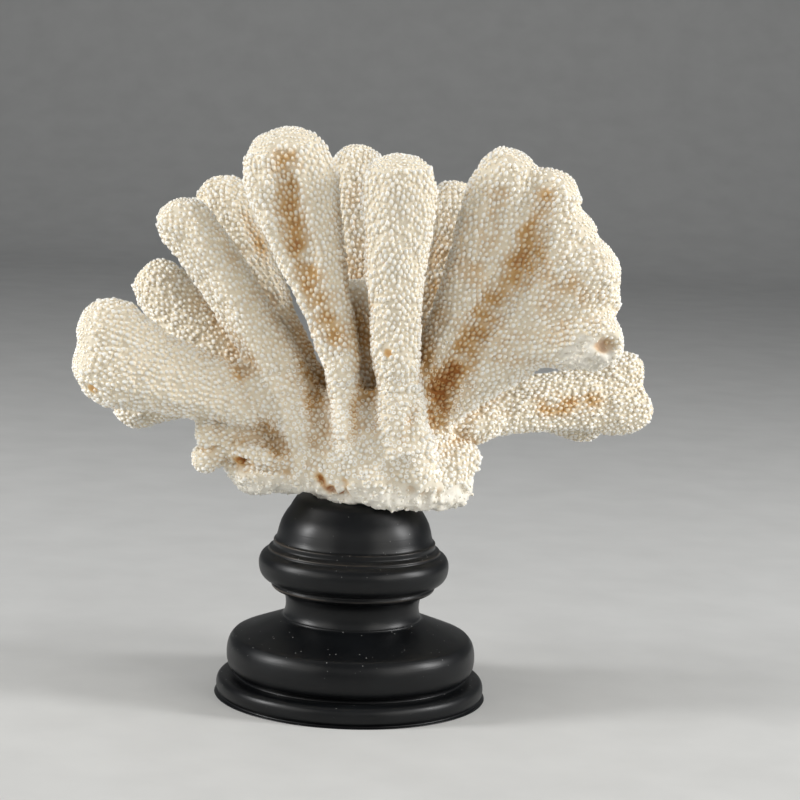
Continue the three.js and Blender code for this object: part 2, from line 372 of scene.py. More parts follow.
class Wart(Enum):
    """The three shapes of wart: hooded teeth on the flanks, ring-shaped cups low down, and grains.

    The grains cover the tips and the worn parts. Each shape is the number of its sides, its width for its
    length, a stack of rings, and a middle. A ring is its radius, its height, how far it leans forwards,
    towards the branch's tip, and its share of the wart's rise. The middle is its lean, its height and its
    share of the rise. All lengths are shares of the wart's own radius.
    """

    HOOD = (
        6, 0.85, ((1.3, -0.2, 0.0, 0.0), (0.85, 0.5, 0.1, 0.5), (0.5, 1.05, 0.22, 0.9)), (0.3, 1.35, 1.0)
    )
    CUP = (8, 1.0, ((1.2, -0.4, 0.0, 0.0), (1.05, 0.4, 0.0, 0.6), (0.8, 0.75, 0.0, 1.0)), (0.0, -0.1, 0.0))
    GRAIN = (5, 0.9, ((1.2, -0.3, 0.0, 0.0), (0.8, 0.35, 0.05, 0.6)), (0.15, 0.68, 1.0))

    def template(self) -> bpy.types.Object:
        """Makes the wart at unit size, standing on the origin with its tip side towards +Y.

        Returns:
            A template object with a closed mesh and its height stored as the attribute rise.
        """
        sides, width, rings, (lean, middle, share) = self.value
        shape = bmesh.new()
        loops = []
        for radius, height, forward, _ in rings:
            loop = []
            for side in range(sides):
                turn = 2 * math.pi * side / sides
                across, along = radius * width * math.cos(turn), radius * math.sin(turn)
                loop.append(shape.verts.new((across, along + forward, height)))
            loops.append(loop)
        shape.faces.new(reversed(loops[0]))
        for low, high in zip(loops[:-1], loops[1:]):
            for side in range(sides):
                after = (side + 1) % sides
                shape.faces.new((low[side], low[after], high[after], high[side]))
        crown = shape.verts.new((0, lean, middle))
        for side in range(sides):
            shape.faces.new((loops[-1][side], loops[-1][(side + 1) % sides], crown))
        for face in shape.faces:
            face.smooth = True
        mesh = finished_mesh(shape, f"wart_{self.name.lower()}")
        rise = mesh.attributes.new("rise", "FLOAT", "POINT")
        rises = [ring[3] for ring in rings for _ in range(sides)]
        rise.data.foreach_set("value", [*rises, share])
        return new_object(mesh.name, mesh)


@dataclass(frozen=True)
class Groove:
    """A line in the coral's skin, in millimetres, with its share of tan, partly rust, partly painted shade.

    A crest has a depth below zero.
    """

    path: tuple[Point, ...]
    width: float
    depth: float
    stain: float = 0.0

    def away(self, points: np.ndarray) -> np.ndarray:
        """Measures how far points lie from the line, as a share of its width."""
        return path_distance(points, self.path) / (self.width * MM)


@dataclass(frozen=True)
class Pit:
    """A hole in the coral's skin, in millimetres, with its share of tan, partly rust, partly painted shade.

    A swelling has a depth below zero.
    """

    centre: Point
    radius: float
    depth: float
    stain: float

    def away(self, points: np.ndarray) -> np.ndarray:
        """Measures how far points lie from the middle, as a share of the radius."""
        return np.linalg.norm(points - np.array(self.centre) * MM, axis=1) / (self.radius * MM)


@dataclass
class Skin:
    """A closed surface of four-sided faces.

    Attributes:
        points: one row of x, y and z for each vertex, in metres.
        faces: one row of four vertex numbers for each face.
    """

    points: np.ndarray
    faces: np.ndarray

    def normals(self) -> np.ndarray:
        """Gives each vertex's outward direction, averaged over its faces."""
        corners = self.points[self.faces]
        across = np.cross(corners[:, 2] - corners[:, 0], corners[:, 3] - corners[:, 1])
        summed = np.stack([
            np.bincount(self.faces.ravel(), np.repeat(across[:, axis], 4), len(self.points))
            for axis in range(3)
        ], axis=1)
        return summed / np.maximum(np.linalg.norm(summed, axis=1, keepdims=True), 1e-12)

    def push(self, distances: np.ndarray) -> None:
        """Moves each vertex outwards by its own distance, in metres."""
        self.points = self.points + self.normals() * distances[:, None]

    def patches(self, size: float) -> np.ndarray:
        """Gives each vertex a soft random value around 0, in patches of a size in millimetres."""
        return np.array([noise.noise(Vector(p) / (size * MM)) for p in self.points])

    def spread(self, values: np.ndarray, rounds: int) -> np.ndarray:
        """Evens out values over neighbouring vertices.

        Args:
            values: one row for each vertex.
            rounds: how many times each vertex moves half way towards its neighbours.
        Returns:
            The evened values.
        """
        start = self.faces.ravel()
        end = np.roll(self.faces, -1, axis=1).ravel()
        count = np.bincount(start, minlength=len(self.points))
        evened = values.reshape(len(values), -1).copy()
        for _ in range(rounds):
            for column in range(evened.shape[1]):
                mean = np.bincount(start, evened[end, column], len(evened)) / count
                evened[:, column] += 0.5 * (mean - evened[:, column])
        return evened.reshape(values.shape)

    def tree(self) -> BVHTree:
        """Builds the search tree of the surface."""
        return BVHTree.FromPolygons(self.points.tolist(), self.faces.tolist())

    def neighbours(self) -> np.ndarray:
        """Lists the pairs of faces that share an edge."""
        edges = np.stack([self.faces, np.roll(self.faces, -1, axis=1)], axis=2)
        edges = np.sort(edges, axis=2).reshape(-1, 2)
        owners = np.repeat(np.arange(len(self.faces)), 4)
        order = np.lexsort((edges[:, 1], edges[:, 0]))
        edges, owners = edges[order], owners[order]
        same = np.all(edges[1:] == edges[:-1], axis=1)
        return np.stack([owners[:-1][same], owners[1:][same]], axis=1)


@dataclass
class Coral:
    """The coral: one skin grown over all its CAD branches, parted at the forks and covered in warts.

    Lengths are in millimetres.
    """

    finish: BleachedCoral
    crown: Point = (2.0, 0.0, 84.0)
    foot: float = 68.0
    overlap: float = 0.25
    root_share: float = 0.6
    voxel: float = 1.0
    # Rounds of smoothing: of the raw skin, of values measured on it, and of the shaped skin
    rounding: int = 22
    evening: int = 4
    softening: int = 2
    inset: float = 0.8
    tip_inset: float = 0.3
    lumps: tuple[tuple[float, float], ...] = ((11.0, 0.8), (5.0, 0.5))
    worn_band: tuple[float, float] = (71.0, 79.0)
    rim_radius: tuple[float, float] = (19.0, 22.0)
    rim_drop: float = 1.6
    crumble: float = 2.6
    crumb: float = 3.0
    crumb_level: float = 0.5
    crumb_octaves: int = 3
    shade_rays: int = 18
    shade_start: float = 0.8
    shade_reach: float = 38.0
    # How strongly the hollows darken the colour: partly their dirt, partly painted shade
    dirt_and_shade: float = 0.8
    lean: float = 1.0
    wart_spacing: float = 1.5
    wart_radius: float = 0.82
    tip_spacing: float = 1.05
    tip_radius: float = 0.6
    # The most warts that are tried on a square metre, before those too close together are dropped
    wart_density: float = 3.0e6
    wart_stray: float = 0.22
    wart_growth: tuple[float, float] = (0.7, 1.25)
    zone_edge: float = 0.5
    cup_reach: tuple[float, float] = (30.0, 58.0)
    cup_share: float = 0.6
    tip_reach: tuple[float, float] = (45.0, 65.0)
    tip_facing: tuple[float, float] = (0.5, 0.85)
    tip_bleach: float = 0.15
    stain_patch: float = 4.0
    stain_unevenness: float = 0.9
    path_step: float = 2.0
    crack: float = 1.5
    hole: float = 3.0
    worn_loss: float = 0.7
    # How often the borders between branches are straightened, how much a face's own branch counts
    # there, and how often loose islands are handed to a neighbour
    border_rounds: int = 6
    border_hold: float = 1.5
    island_rounds: int = 40
    seed: int = 7
    break_middle: Point = (73.0, -29.0, 118.5)
    break_reach: tuple[float, float] = (9.2, 10.2)
    break_patch: float = 4.0
    break_ragged: float = 2.0
    break_depth: float = 0.8
    grooves: tuple[Groove, ...] = (
        # The front left finger's valley, and the crest along its left side
        Groove(
            ((-26, -35, 181), (-24.4, -32, 166), (-21, -30, 153), (-15, -29.6, 137), (-9, -28, 124)),
            4.6, 0.9, 0.5,
        ),
        Groove(((-35, -33, 171), (-24, -29, 145.5), (-12.3, -23.3, 119.5), (-5, -25, 94)), 2.6, -1.3),
        # The left finger's crest
        Groove(((-54, -22, 157), (-37.6, -19.3, 126), (-25.6, -19.5, 102), (-21.3, -19, 89)), 2.8, -1.8),
        # The fan's two valleys and the hollow at its root
        Groove(((57, -26.5, 170.6), (48, -21.5, 147), (33, -17, 119.7)), 4.6, 1.0, 0.32),
        Groove(((43, -25, 172), (39, -22.7, 157), (35.7, -22, 144)), 4.0, 0.8, 0.22),
        # The dark brown at the root is painted shade, partly rust
        Groove(((29, -16.7, 112), (26.3, -16.3, 107.5), (26, -13, 98)), 5.0, 2.2, 0.75),
        # Tan on the fan's flat side, along the back row's fingers and under the right arm: partly rust,
        # partly painted shade, of the warts' shadows on the fan, of the front fingers on the back row, and
        # of the arm on what lies under it
        Groove(((51, -24, 153), (63, -27, 146)), 8.0, 0.0, 0.2),
        Groove(((40, -19, 118), (58, -26, 128), (68, -28, 140)), 13.0, 0.0, 0.14),
        Groove(((-40, 16, 159), (-34.7, 13, 148)), 2.5, 0.3, 0.3),
        Groove(((-5, 15.5, 171), (-2.5, 10.7, 149), (1.5, -8, 121)), 4.0, 0.4, 0.18),
        Groove(((25, 17.5, 156), (22.7, 12, 136)), 5.0, 0.4, 0.22),
        Groove(((63.3, 8.7, 97.3), (74.2, 13, 99), (81.2, 16.3, 100.3)), 4.5, 1.0, 0.4),
        # The valleys between the front fingers' roots, tinted tan, partly rust and partly painted shade,
        # and the lip of the stump's scoop
        Groove(((1.5, -14, 112), (1.1, -21.6, 103.4), (0, -24.5, 92)), 4.0, 2.2, 0.2),
        Groove(((-13.3, -14, 104), (-12.8, -20.4, 91.2), (-14, -21, 83)), 5.0, 1.8, 0.14),
        Groove(((18, -24.7, 102), (16.5, -25, 92)), 2.6, 0.9, 0.25),
        Groove(((5, -23.5, 77.5), (8, -25.5, 83.5), (14, -25, 87), (19.5, -22.5, 88.5)), 1.8, -1.2),
        Groove(((-4.7, -24.4, 115), (-4.8, -24.8, 97), (-4.8, -24, 87)), 2.8, -1.0),
        # The valley at the left arm's root, its undercut, the ledge below it and the ledge's own undercut
        # Their tan in the valley and in both undercuts is painted shade
        Groove(((-39, -17, 111), (-35, -22, 102), (-30, -17.5, 92)), 3.6, 2.0, 0.1),
        Groove(((-51, -20, 93.5), (-43, -17, 91), (-35, -16, 89.3), (-27, -16, 87.5)), 2.6, 2.6, 0.04),
        Groove(((-50.5, -17, 89.5), (-44, -15.5, 87), (-36.6, -17.5, 85), (-28, -20, 82.5)), 3.2, -3.0),
        Groove(
            ((-44, -15, 79.4), (-37.2, -19.6, 78.6), (-30.7, -20.2, 78.9), (-22, -20, 78)), 2.2, 2.6, 0.2
        ),
        # Cracks at the stump's front foot
        Groove(((-12, -21, 77), (-9.6, -19, 73.5), (-5, -19, 71)), 1.2, 0.8, 0.6),
        Groove(((-4, -22.5, 76.5), (-2, -21, 73)), 1.1, 0.7, 0.5),
    )
    pits: tuple[Pit, ...] = (
        # The worm hole, a pit in the centre finger, the hole in the shelf, and a spot on the left arm
        Pit((79.2, -30.0, 125.2), 2.8, 2.2, 0.6),
        Pit((8.7, -30.0, 120.0), 1.6, 0.3, 0.6),
        # The dark tint inside the shelf's hole is painted shade
        Pit((-37.2, -19.6, 78.8), 2.4, 3.6, 0.6),
        Pit((-85.8, -31.5, 104.7), 2.2, 0.2, 0.5),
        # The stub below the ledge and the heel under the right arm swell out
        Pit((-50.5, -14.5, 83.0), 5.5, -1.6, 0.0),
        Pit((42.0, 0.0, 89.5), 6.5, -2.0, 0.0),
        Pit((36.5, -4.0, 84.5), 6.0, -3.0, 0.0),
        # The stump's scoop, and the hollow left of its front
        Pit((14.0, -24.5, 80.5), 5.5, 1.1, 0.12),
        Pit((-24.0, -18.5, 83.0), 4.5, 1.5, 0.14),
        # Eroded pits along the foot, the first three rusty
        Pit((-11.6, -20.7, 76.0), 1.3, 1.0, 0.6),
        Pit((-8.0, -19.5, 73.2), 1.4, 1.0, 0.6),
        Pit((-4.5, -19.5, 71.5), 1.2, 0.9, 0.6),
        Pit((17.8, -21.8, 73.8), 1.8, 1.6, 0.3),
        Pit((22.7, -19.6, 73.0), 1.9, 1.8, 0.35),
        Pit((27.6, -18.3, 73.2), 1.7, 1.5, 0.3),
    )
    names: list[str] = field(default_factory=list)

    def build(self) -> list[bpy.types.Object]:
        """Grows, shapes, parts and dresses the coral.

        Returns:
            One finished piece for each CAD branch, in the order of their names.
        """
        self.names = sorted(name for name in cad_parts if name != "stand")
        skin = self.grow()
        self.shape(skin)
        traits = self.measure(skin)
        owners = self.part_at_forks(skin)
        finish = self.finish.material()
        templates = {wart: wart.template() for wart in Wart}
        tree, sockets = self.wart_tree(templates)
        pieces = []
        for number, name in enumerate(self.names):
            patch = self.patch(name, skin, traits, owners == number)
            pieces.append(self.grow_warts(patch, tree, sockets, finish, self.seed + number))
        for template in templates.values():
            bpy.data.objects.remove(template)
        for piece, name in zip(pieces, self.names):
            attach(piece, "root")
            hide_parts(name)
        return pieces

    def grow(self) -> Skin:
        """Fuses copies of the branches into one skin without gaps.

        Returns:
            The raw skin.
        """
        fused = bmesh.new()
        for name in self.names:
            branch = merged_copy(name)
            branch.normal_update()
            for vertex in branch.verts:
                vertex.co += vertex.normal * self.overlap * MM
            mesh = finished_mesh(branch, name)
            fused.from_mesh(mesh)
            bpy.data.meshes.remove(mesh)
        rough = new_object("coral_fused", finished_mesh(fused, "coral_fused"))
        remesh = rough.modifiers.new("fuse", "REMESH")
        remesh.mode = "VOXEL"
        remesh.voxel_size = self.voxel * MM
        mesh = bpy.data.meshes.new_from_object(rough.evaluated_get(bpy.context.evaluated_depsgraph_get()))
        points = np.empty(len(mesh.vertices) * 3)
        mesh.vertices.foreach_get("co", points)
        faces = np.empty(len(mesh.loops), dtype=np.int64)
        mesh.loops.foreach_get("vertex_index", faces)
        bpy.data.objects.remove(rough)
        bpy.data.meshes.remove(mesh)
        return Skin(points.reshape(-1, 3), faces.reshape(-1, 4))

    def settle(self, skin: Skin) -> None:
        """Lays the grooves and pits on the skin.

        Args:
            skin: the skin as it is now.
        """
        tree = skin.tree()

        def laid(point: np.ndarray) -> Point:
            """Finds the skin's nearest point, in millimetres."""
            return tuple(tree.find_nearest(Vector(point) * MM)[0] / MM)

        grooves = []
        for groove in self.grooves:
            path = [laid(groove.path[0])]
            for start, end in zip(np.array(groove.path[:-1]), np.array(groove.path[1:])):
                steps = math.ceil(np.linalg.norm(end - start) / self.path_step)
                path += [laid(start + (end - start) * step / steps) for step in range(1, steps + 1)]
            grooves.append(replace(groove, path=tuple(path)))
        self.grooves = tuple(grooves)
        self.pits = tuple(replace(pit, centre=laid(pit.centre)) for pit in self.pits)

    def shape(self, skin: Skin) -> None:
        """Rounds the skin's forks, sinks it by a wart's height, and adds all that is larger than a wart.

        That is its lumps, grooves and pits, the fan's broken end, and the crumbling foot, whose rim hangs a
        little over the edge of the stand.

        Args:
            skin: the skin that is shaped in place.
        """
        self.round_forks(skin)
        self.settle(skin)
        push = -self.inset + (self.inset - self.tip_inset) * self.tips(skin)
        for size, height in self.lumps:
            push += height * skin.patches(size)
        for groove in self.grooves:
            push -= groove.depth * np.exp(-groove.away(skin.points) ** 2)
        skin.push(push * MM)
        skin.points = skin.spread(skin.points, self.softening)
        self.settle(skin)
        crumbs = np.array([
            noise.turbulence(Vector(p) / (self.crumb * MM), self.crumb_octaves, True) for p in skin.points
        ])
        push = self.worn(skin) * self.crumble * (self.crumb_level - crumbs)
        push = push - self.break_depth * self.broken(skin)
        for pit in self.pits:
            push -= pit.depth * np.exp(-pit.away(skin.points) ** 4)
        skin.push(push * MM)
        skin.points[:, 2] = np.maximum(skin.points[:, 2], self.foot * MM)
        outside = smooth_step(np.linalg.norm(skin.points[:, :2], axis=1) / MM, *self.rim_radius)
        skin.points[:, 2] -= self.rim_drop * MM * outside * self.near_foot(skin)

    def round_forks(self, skin: Skin) -> None:
        """Rounds the skin's forks, and gives its bulges back what the rounding took from them.

        Args:
            skin: the skin that is rounded in place.
        """
        raw = skin.tree()
        skin.points = skin.spread(skin.points, self.rounding)
        nearest = np.array([raw.find_nearest(point)[0] for point in skin.points.tolist()])
        lost = np.maximum(np.sum((nearest - skin.points) * skin.normals(), axis=1), 0)
        skin.push(skin.spread(lost, self.evening))

    def tips(self, skin: Skin) -> np.ndarray:
        """Gives how near each vertex is to a branch's tip: 1 on the tip, 0 on the flanks and the stump."""
        climb = skin.points - np.array(self.crown) * MM
        length = np.linalg.norm(climb, axis=1)
        facing = skin.spread(np.sum(skin.normals() * climb, axis=1) / length, self.evening)
        return smooth_step(facing, *self.tip_facing) * smooth_step(length / MM, *self.tip_reach)

    def broken(self, skin: Skin) -> np.ndarray:
        """Gives 1 inside the ragged edge of the fan's broken end and 0 outside it, for each vertex."""
        away = np.linalg.norm(skin.points - np.array(self.break_middle) * MM, axis=1) / MM
        ragged = self.break_ragged * skin.patches(self.break_patch)
        return 1 - smooth_step(away + ragged, *self.break_reach)

    def near_foot(self, skin: Skin) -> np.ndarray:
        """Gives how near each vertex is to the stump's foot: 1 on it, 0 above its worn band."""
        return 1 - smooth_step(skin.points[:, 2] / MM, *self.worn_band)

    def worn(self, skin: Skin) -> np.ndarray:
        """Gives how worn each vertex is: 1 at the stump's foot and the fan's broken end, 0 elsewhere."""
        return np.maximum(self.near_foot(skin), self.broken(skin))

    def measure(self, skin: Skin) -> dict[str, np.ndarray]:
        """Works out the traits that the warts and the finish read.

        Args:
            skin: the shaped skin.
        Returns:
            One array for each trait: climb, lean, tip, fine, cups, hollow, stain, worn, cover and whole.
        """
        self.settle(skin)
        normals = skin.normals()
        climb = skin.points - np.array(self.crown) * MM
        length = np.linalg.norm(climb, axis=1, keepdims=True)
        climb /= length
        facing = np.sum(normals * climb, axis=1)
        lean = normals + self.lean * (climb - facing[:, None] * normals)
        lean /= np.linalg.norm(lean, axis=1, keepdims=True)
        stain = np.zeros(len(skin.points))
        bare = np.zeros(len(skin.points))
        for groove in self.grooves:
            away = groove.away(skin.points)
            stain += groove.stain * np.exp(-away ** 2)
            if groove.width < self.crack:
                bare = np.maximum(bare, np.exp(-away ** 4))
        for pit in self.pits:
            inside = np.exp(-pit.away(skin.points) ** 4)
            stain += pit.stain * inside
            if pit.radius < self.hole and pit.depth > 0:
                bare = np.maximum(bare, inside)
        worn = self.worn(skin)
        tip = self.tips(skin)
        stain *= 1 + self.stain_unevenness * skin.patches(self.stain_patch)
        # Painted shade, partly dirt: the more the open air is closed off around a vertex, the nearer its
        # colour goes to tan and rust
        hollow = self.dirt_and_shade * skin.spread(self.shade(skin, normals), self.softening)
        return {
            "climb": climb,
            "lean": lean,
            "tip": tip,
            "fine": np.maximum(tip, worn),
            "cups": self.cup_share * (1 - smooth_step(length[:, 0] / MM, *self.cup_reach)),
            "hollow": hollow - self.tip_bleach * tip,
            "stain": np.clip(stain, 0, 1),
            "worn": worn,
            "cover": (1 - worn) * (1 - bare),
            "whole": (1 - self.worn_loss * worn) * (1 - bare),
        }

    def shade(self, skin: Skin, normals: np.ndarray) -> np.ndarray:
        """Measures how much of the open air is closed off at each vertex.

        Args:
            skin: the shaped skin.
            normals: each vertex's outward direction.
        Returns:
            0 in the open to 1 deep in a hollow, for each vertex.
        """
        tree = skin.tree()
        reach = self.shade_reach * MM
        golden = math.pi * (3 - math.sqrt(5))
        rays = []
        for number in range(self.shade_rays):
            height = math.sqrt((number + 0.5) / self.shade_rays)
            out = math.sqrt(1 - height * height)
            rays.append(Vector((out * math.cos(golden * number), out * math.sin(golden * number), height)))
        closed = np.empty(len(skin.points))
        up = Vector((0, 0, 1))
        for index, (point, normal) in enumerate(zip(skin.points, normals)):
            outward = Vector(normal)
            start = Vector(point) + outward * (self.shade_start * MM)
            turn = up.rotation_difference(outward)
            blocked = 0.0
            for ray in rays:
                distance = tree.ray_cast(start, turn @ ray, reach)[3]
                if distance is not None:
                    blocked += 1 - distance / reach
            closed[index] = blocked / self.shade_rays
        return closed

    def part_at_forks(self, skin: Skin) -> np.ndarray:
        """Gives each face of the skin to the CAD branch that it lies on.

        Args:
            skin: the shaped skin.
        Returns:
            The number of each face's branch in the list of names.
        """
        points, triangles, branches = [], [], []
        for number, name in enumerate(self.names):
            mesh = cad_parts[name].data
            first = len(points)
            points.extend(vertex.co.copy() for vertex in mesh.vertices)
            triangles.extend([first + corner for corner in face.vertices] for face in mesh.polygons)
            branches.extend([number] * len(mesh.polygons))
        tree = BVHTree.FromPolygons(points, triangles)
        middles = skin.points[skin.faces].mean(axis=1)
        owners = np.array([branches[tree.find_nearest(middle)[2]] for middle in middles.tolist()])
        pairs = skin.neighbours()
        for _ in range(self.border_rounds):
            owners = self.majority(owners, pairs)
        for _ in range(self.island_rounds):
            islands = self.islands(owners, pairs)
            if not islands.any():
                break
            owners = self.majority(owners, pairs, islands)
        return owners

    def majority(
        self, owners: np.ndarray, pairs: np.ndarray, loose: np.ndarray | None = None
    ) -> np.ndarray:
        """Gives each face to the branch that most of its neighbours lie on.

        Args:
            owners: each face's branch.
            pairs: the pairs of faces that share an edge.
            loose: the faces that may not keep their branch, if only those change.
        Returns:
            Each face's new branch.
        """
        votes = np.zeros((len(owners), len(self.names)))
        np.add.at(votes, (pairs[:, 0], owners[pairs[:, 1]]), 1)
        np.add.at(votes, (pairs[:, 1], owners[pairs[:, 0]]), 1)
        faces = np.arange(len(owners))
        if loose is None:
            votes[faces, owners] += self.border_hold
            return votes.argmax(axis=1)
        votes[faces, owners] = 0
        moved = loose & (votes.max(axis=1) > 0)
        return np.where(moved, votes.argmax(axis=1), owners)

    def islands(self, owners: np.ndarray, pairs: np.ndarray) -> np.ndarray:
        """Finds the faces that are cut off from the main patch of their branch.

        Args:
            owners: each face's branch.
            pairs: the pairs of faces that share an edge.
        Returns:
            True for each face that is cut off.
        """
        joined = pairs[owners[pairs[:, 0]] == owners[pairs[:, 1]]]
        near: list[list[int]] = [[] for _ in owners]
        for one, other in joined.tolist():
            near[one].append(other)
            near[other].append(one)
        patch = np.full(len(owners), -1)
        sizes: list[int] = []
        for face in range(len(owners)):
            if patch[face] >= 0:
                continue
            reached = [face]
            patch[face] = len(sizes)
            for step in reached:
                for other in near[step]:
                    if patch[other] < 0:
                        patch[other] = len(sizes)
                        reached.append(other)
            sizes.append(len(reached))
        size = np.array(sizes)[patch]
        largest = np.array([
            size[owners == number].max(initial=0) for number in range(len(self.names))
        ])
        return size < largest[owners]

    def patch(
        self, name: str, skin: Skin, traits: dict[str, np.ndarray], mine: np.ndarray
    ) -> bpy.types.Object:
        """Cuts one branch's patch from the skin and closes it with roots that reach into the stump.

        Args:
            name: the branch's CAD node.
            skin: the shaped skin.
            traits: what was measured at each vertex.
            mine: True for each face of this branch.
        Returns:
            A closed object with the traits as attributes.
        """
        faces = skin.faces[mine]
        used, numbers = np.unique(faces, return_inverse=True)
        mesh = bpy.data.meshes.new(name)
        mesh.from_pydata(skin.points[used].tolist(), [], numbers.reshape(-1, 4).tolist())
        for trait, values in traits.items():
            kind, key = ("FLOAT_VECTOR", "vector") if values.ndim == 2 else ("FLOAT", "value")
            mesh.attributes.new(trait, kind, "POINT").data.foreach_set(key, values[used].ravel())
        mesh.attributes.new("open_air", "BOOLEAN", "FACE").data.foreach_set("value", [True] * len(faces))
        shape = bmesh.new()
        shape.from_mesh(mesh)
        open_air = shape.faces.layers.bool["open_air"]
        for face in shape.faces:
            face.smooth = True
        rim = [edge for edge in shape.edges if edge.is_boundary]
        closed = bmesh.ops.holes_fill(shape, edges=rim, sides=0)["faces"]
        for edge in rim:
            edge.smooth = False
        rooted = bmesh.ops.poke(shape, faces=closed)
        for vertex in rooted["verts"]:
            vertex.co = vertex.co.lerp(Vector(self.crown) * MM, self.root_share)
        for face in rooted["faces"]:
            face[open_air] = False
            face.smooth = False
        shape.to_mesh(mesh)
        shape.free()
        return new_object(f"{name}_warted", mesh)

    def wart_tree(
        self, templates: dict[Wart, bpy.types.Object]
    ) -> tuple[bpy.types.NodeTree, dict[str, str]]:
        """Builds the tree that grows warts on a patch.

        Args:
            templates: the wart shapes.
        Returns:
            The tree, and the identifier of each of its inputs by name.
        """
        tree = bpy.data.node_groups.new("coral warts", "GeometryNodeTree")
        sockets = {}
        for name, kind in (
            ("Patch", "NodeSocketGeometry"),
            ("Spacing", "NodeSocketFloat"),
            ("Radius", "NodeSocketFloat"),
            ("Tip Spacing", "NodeSocketFloat"),
            ("Tip Radius", "NodeSocketFloat"),
            ("Seed", "NodeSocketInt"),
            ("Finish", "NodeSocketMaterial"),
        ):
            sockets[name] = tree.interface.new_socket(name, in_out="INPUT", socket_type=kind).identifier
        tree.interface.new_socket("Warted", in_out="OUTPUT", socket_type="NodeSocketGeometry")
        given = add_node(tree, "NodeGroupInput").outputs
        read = {
            name: add_node(
                tree, "GeometryNodeInputNamedAttribute", {"Name": name}, data_type=kind
            ).outputs["Attribute"]
            for name, kind in (
                ("climb", "FLOAT_VECTOR"), ("lean", "FLOAT_VECTOR"),
                ("tip", "FLOAT"), ("fine", "FLOAT"), ("cups", "FLOAT"), ("cover", "FLOAT"),
                ("whole", "FLOAT"), ("open_air", "BOOLEAN"),
            )
        }
        shapes = {
            wart: add_node(
                tree, "GeometryNodeObjectInfo", {"Object": template, "As Instance": True}
            ).outputs["Geometry"]
            for wart, template in templates.items()
        }
        grown = [given["Patch"]]
        draw = add_node(
            tree, "FunctionNodeRandomValue", {2: 0.0, 3: 1.0, "Seed": given["Seed"]}, data_type="FLOAT"
        ).outputs[1]
        hooded, ringed = (
            add_node(
                tree, "FunctionNodeCompare", {"A": draw, "B": read["cups"]}, operation=operation
            ).outputs["Result"]
            for operation in ("GREATER_EQUAL", "LESS_THAN")
        )
        for spacing, radius, trait, zone, cover, kinds in (
            ("Spacing", "Radius", "tip", "NIMPLY", "cover", {Wart.HOOD: hooded, Wart.CUP: ringed}),
            ("Tip Spacing", "Tip Radius", "fine", "AND", "whole", {Wart.GRAIN: True}),
        ):
            marked = add_node(
                tree, "FunctionNodeCompare", {"A": read[trait], "B": self.zone_edge},
                operation="GREATER_THAN",
            ).outputs["Result"]
            ground = add_node(
                tree, "FunctionNodeBooleanMath", {0: read["open_air"], 1: marked}, operation=zone
            ).outputs[0]
            points = add_node(
                tree, "GeometryNodeDistributePointsOnFaces",
                {
                    "Mesh": given["Patch"], "Selection": ground, "Distance Min": given[spacing],
                    "Density Max": self.wart_density, "Density Factor": read[cover],
                    "Seed": given["Seed"],
                },
                distribute_method="POISSON",
            )
            stray = add_node(
                tree, "FunctionNodeRandomValue",
                {0: (-self.wart_stray,) * 3, 1: (self.wart_stray,) * 3, "Seed": given["Seed"]},
                data_type="FLOAT_VECTOR",
            ).outputs[0]
            axis = add_node(
                tree, "ShaderNodeVectorMath", {0: read["lean"], 1: stray}, operation="ADD"
            ).outputs[0]
            upright = add_node(tree, "FunctionNodeAlignRotationToVector", {"Vector": axis}, axis="Z")
            turned = add_node(
                tree, "FunctionNodeAlignRotationToVector",
                {"Rotation": upright.outputs[0], "Vector": read["climb"]}, axis="Y", pivot_axis="Z",
            )
            growth = add_node(
                tree, "FunctionNodeRandomValue",
                {2: self.wart_growth[0], 3: self.wart_growth[1], "Seed": given["Seed"]}, data_type="FLOAT",
            ).outputs[1]
            size = add_node(
                tree, "ShaderNodeMath", {0: growth, 1: given[radius]}, operation="MULTIPLY"
            ).outputs[0]
            for wart, chosen in kinds.items():
                grown.append(add_node(
                    tree, "GeometryNodeInstanceOnPoints",
                    {
                        "Points": points.outputs["Points"], "Selection": chosen, "Instance": shapes[wart],
                        "Rotation": turned.outputs[0], "Scale": size,
                    },
                ).outputs["Instances"])
        joined = add_node(tree, "GeometryNodeJoinGeometry", {"Geometry": grown})
        real = add_node(tree, "GeometryNodeRealizeInstances", {"Geometry": joined.outputs[0]})
        dressed = add_node(
            tree, "GeometryNodeSetMaterial", {"Geometry": real.outputs[0], "Material": given["Finish"]}
        )
        add_node(tree, "NodeGroupOutput", {0: dressed.outputs[0]})
        return tree, sockets

    def grow_warts(
        self,
        patch: bpy.types.Object,
        tree: bpy.types.NodeTree,
        sockets: dict[str, str],
        finish: bpy.types.Material,
        seed: int,
    ) -> bpy.types.Object:
        """Runs the wart tree on a patch and keeps the result as a plain mesh.

        Args:
            patch: the closed patch.
            tree: the wart tree.
            sockets: the identifiers of the tree's inputs.
            finish: the coral's material.
            seed: the seed of this patch's random draws.
        Returns:
            The finished piece.
        """
        modifier = patch.modifiers.new("warts", "NODES")
        modifier.node_group = tree
        for name, value in (
            ("Spacing", self.wart_spacing * MM),
            ("Radius", self.wart_radius * MM),
            ("Tip Spacing", self.tip_spacing * MM),
            ("Tip Radius", self.tip_radius * MM),
            ("Seed", seed),
            ("Finish", finish),
        ):
            modifier[sockets[name]] = value
        smooth = patch.data
        mesh = bpy.data.meshes.new_from_object(patch.evaluated_get(bpy.context.evaluated_depsgraph_get()))
        patch.modifiers.remove(modifier)
        mesh.name = patch.name
        patch.data = mesh
        bpy.data.meshes.remove(smooth)
        return patch


